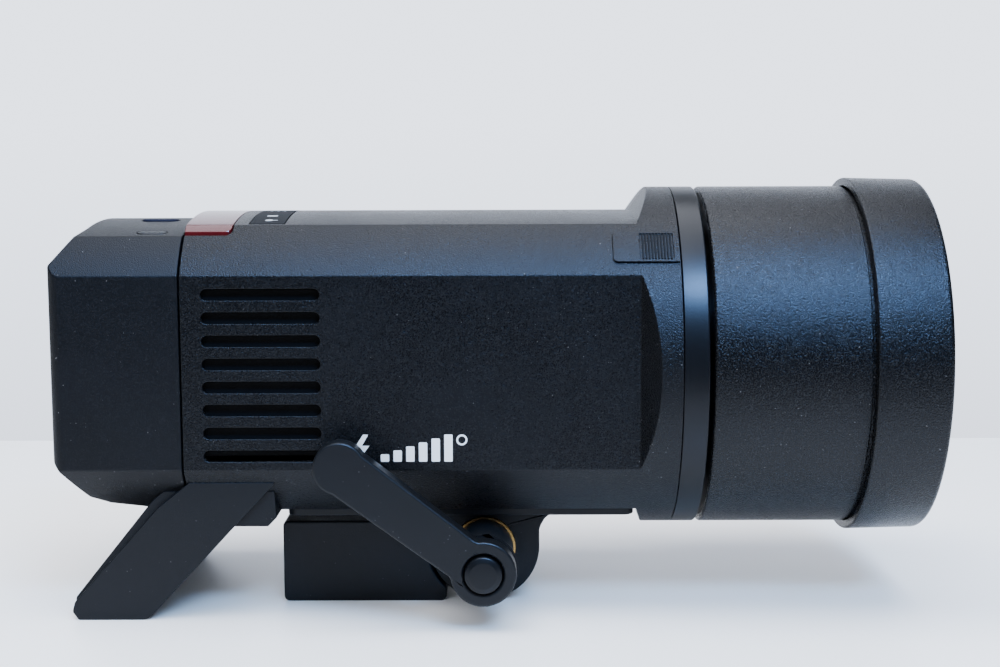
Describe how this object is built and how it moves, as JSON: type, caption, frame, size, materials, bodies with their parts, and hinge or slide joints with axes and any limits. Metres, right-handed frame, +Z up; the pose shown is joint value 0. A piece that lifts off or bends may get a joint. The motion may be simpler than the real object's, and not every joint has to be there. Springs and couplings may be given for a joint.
{
  "type": "monolight strobe",
  "caption": "Battery monolight strobe with flat-sided round body, carrying handle, tilting stand bracket with clamp lever, and a twist-on protective cap.",
  "frame": {"origin": "on the surface that the strobe stands on, under the middle of its length and width", "axes": "+X the way the lamp fires, along the lamp axis; +Z up; -Y the side with the tilt lever"},
  "size_m": [0.3086, 0.136, 0.1536],
  "materials": {
    "textured_black": "fine-grained black moulded plastic",
    "smooth_black": "satin black plastic",
    "painted_metal": "black powder coat",
    "rubber": "matt black rubber",
    "steel": "zinc-plated steel",
    "black_steel": "black oxide steel",
    "brass": "turned brass",
    "aluminium": "satin",
    "cast_metal": "black painted aluminium casting",
    "clear_glass": "frosted borosilicate",
    "red_window": "dark red translucent plastic",
    "screen": "gloss display window",
    "white_ceramic": "matt white",
    "circuit_board": "green laminate",
    "capacitor_can": "sleeved aluminium",
    "cell_wrap": "foil pouch",
    "dark_blue": "dark blue gloss",
    "copper": "enamelled winding"
  },
  "bodies": {
    "head": {"housing_right": "textured_black", "housing_left": "textured_black", "base_plate": "smooth_black", "base_screws": "steel", "tilt_fork": "cast_metal", "handle": "textured_black", "handle_screws": "steel", "receiver_window": "red_window", "port_sockets": "steel", "mount_ring": "smooth_black", "bayonet_flange": "black_steel", "ring_screws": "steel", "lamp_base": "white_ceramic", "reflector_plate": "aluminium", "flash_tube": "clear_glass", "modelling_led": "aluminium", "glass_dome": "clear_glass", "capacitor_bank": "capacitor_can", "power_board": "circuit_board", "main_board": "circuit_board", "trigger_transformer": "copper", "heat_sink": "aluminium", "fan_frame": "smooth_black", "control_housing": "textured_black", "battery_rail": "smooth_black", "display_lens": "screen", "display_board": "circuit_board", "tilt_nut": "steel"},
    "bracket": {"bracket_block": "smooth_black", "socket_liner": "steel"},
    "lever": {"clamp_lever": "smooth_black", "lever_cap": "smooth_black", "lever_collar": "smooth_black", "brass_washer": "brass", "tilt_bolt": "steel"},
    "clamp_pad": {"clamp_pad": "brass"},
    "stand_knob": {"stand_knob": "smooth_black"},
    "umbrella_screw": {"umbrella_screw": "smooth_black"},
    "slider": {"release_slider": "smooth_black", "lock_pin": "steel"},
    "battery": {"battery_case": "textured_black", "battery_lid": "smooth_black", "battery_contacts": "brass", "battery_cells": "cell_wrap", "level_window": "smooth_black"},
    "battery_release": {"battery_release": "dark_blue"},
    "port_cover": {"port_cover": "rubber"},
    "fan_rotor": {"fan_rotor": "smooth_black"},
    "cap": {"cap_sleeve": "textured_black", "cap_rim": "textured_black", "cap_face": "textured_black", "cap_bayonet": "smooth_black"},
    "select_dial": {"select_dial": "smooth_black"},
    "set_button": {"set_button": "rubber"},
    "test_button": {"test_button": "rubber"},
    "power_button": {"power_button": "rubber"},
    "function_key_1": {"function_key_1": "rubber"},
    "function_key_2": {"function_key_2": "rubber"},
    "function_key_3": {"function_key_3": "rubber"},
    "function_key_4": {"function_key_4": "rubber"}
  },
  "joints": [
    {"name": "tilt", "type": "hinge", "parent": "head", "child": "bracket", "pos_m": [-0.005, 0, 0.0205], "axis": [0, -1, 0], "range_deg": [0, 130]},
    {"name": "lever_turn", "type": "hinge", "parent": "head", "child": "lever", "pos_m": [-0.005, 0, 0.0205], "axis": [0, 1, 0], "range_deg": [-70, 50]},
    {"name": "clamp_travel", "type": "slide", "parent": "bracket", "child": "clamp_pad", "axis": [0, -1, 0], "range_m": [0, 0.003]},
    {"name": "stand_knob_turn", "type": "hinge", "parent": "clamp_pad", "child": "stand_knob", "pos_m": [-0.062, 0, 0.015], "axis": [0, -1, 0], "range_deg": [0, 720]},
    {"name": "umbrella_screw_turn", "type": "hinge", "parent": "bracket", "child": "umbrella_screw", "pos_m": [-0.0345, 0, 0.0205], "axis": [0, -1, 0], "range_deg": [0, 360]},
    {"name": "release_slide", "type": "slide", "parent": "head", "child": "slider", "axis": [-1, 0, 0], "range_m": [0, 0.004], "stiffness_N_per_m": 500, "springref_m": -0.002},
    {"name": "battery_slide", "type": "slide", "parent": "head", "child": "battery", "axis": [-1, 0, 0], "range_m": [0, 0.045]},
    {"name": "battery_release_press", "type": "slide", "parent": "battery", "child": "battery_release", "axis": [0, 0, -1], "range_m": [0, 0.0015], "stiffness_N_per_m": 800, "springref_m": -0.001},
    {"name": "port_cover_lift", "type": "hinge", "parent": "head", "child": "port_cover", "pos_m": [-0.0809, 0.0112, 0.1405], "axis": [-1, 0, 0], "range_deg": [0, 100]},
    {"name": "fan_spin", "type": "hinge", "parent": "head", "child": "fan_rotor", "pos_m": [-0.0814, 0.04, 0.088], "axis": [0, 1, 0], "continuous": true},
    {"name": "cap_twist", "type": "hinge", "parent": "head", "child": "cap", "pos_m": [0.1, 0, 0.088], "axis": [1, 0, 0], "range_deg": [0, 45]},
    {"name": "dial_turn", "type": "hinge", "parent": "head", "child": "select_dial", "pos_m": [-0.1493, 0.024, 0.067], "axis": [-1, 0, 0], "continuous": true},
    {"name": "set_press", "type": "slide", "parent": "select_dial", "child": "set_button", "axis": [1, 0, 0], "range_m": [0, 0.0005], "stiffness_N_per_m": 800, "springref_m": -0.001},
    {"name": "test_press", "type": "slide", "parent": "head", "child": "test_button", "axis": [1, 0, 0], "range_m": [0, 0.0005], "stiffness_N_per_m": 800, "springref_m": -0.001},
    {"name": "power_press", "type": "slide", "parent": "head", "child": "power_button", "axis": [1, 0, 0], "range_m": [0, 0.0005], "stiffness_N_per_m": 800, "springref_m": -0.001},
    {"name": "function_key_1_press", "type": "slide", "parent": "head", "child": "function_key_1", "axis": [1, 0, 0], "range_m": [0, 0.0005], "stiffness_N_per_m": 800, "springref_m": -0.001},
    {"name": "function_key_2_press", "type": "slide", "parent": "head", "child": "function_key_2", "axis": [1, 0, 0], "range_m": [0, 0.0005], "stiffness_N_per_m": 800, "springref_m": -0.001},
    {"name": "function_key_3_press", "type": "slide", "parent": "head", "child": "function_key_3", "axis": [1, 0, 0], "range_m": [0, 0.0005], "stiffness_N_per_m": 800, "springref_m": -0.001},
    {"name": "function_key_4_press", "type": "slide", "parent": "head", "child": "function_key_4", "axis": [1, 0, 0], "range_m": [0, 0.0005], "stiffness_N_per_m": 800, "springref_m": -0.001}
  ],
  "couplings": [
    {"joint": "stand_knob_turn", "follows": "clamp_travel", "rad_per_m": 4188.8}
  ]
}
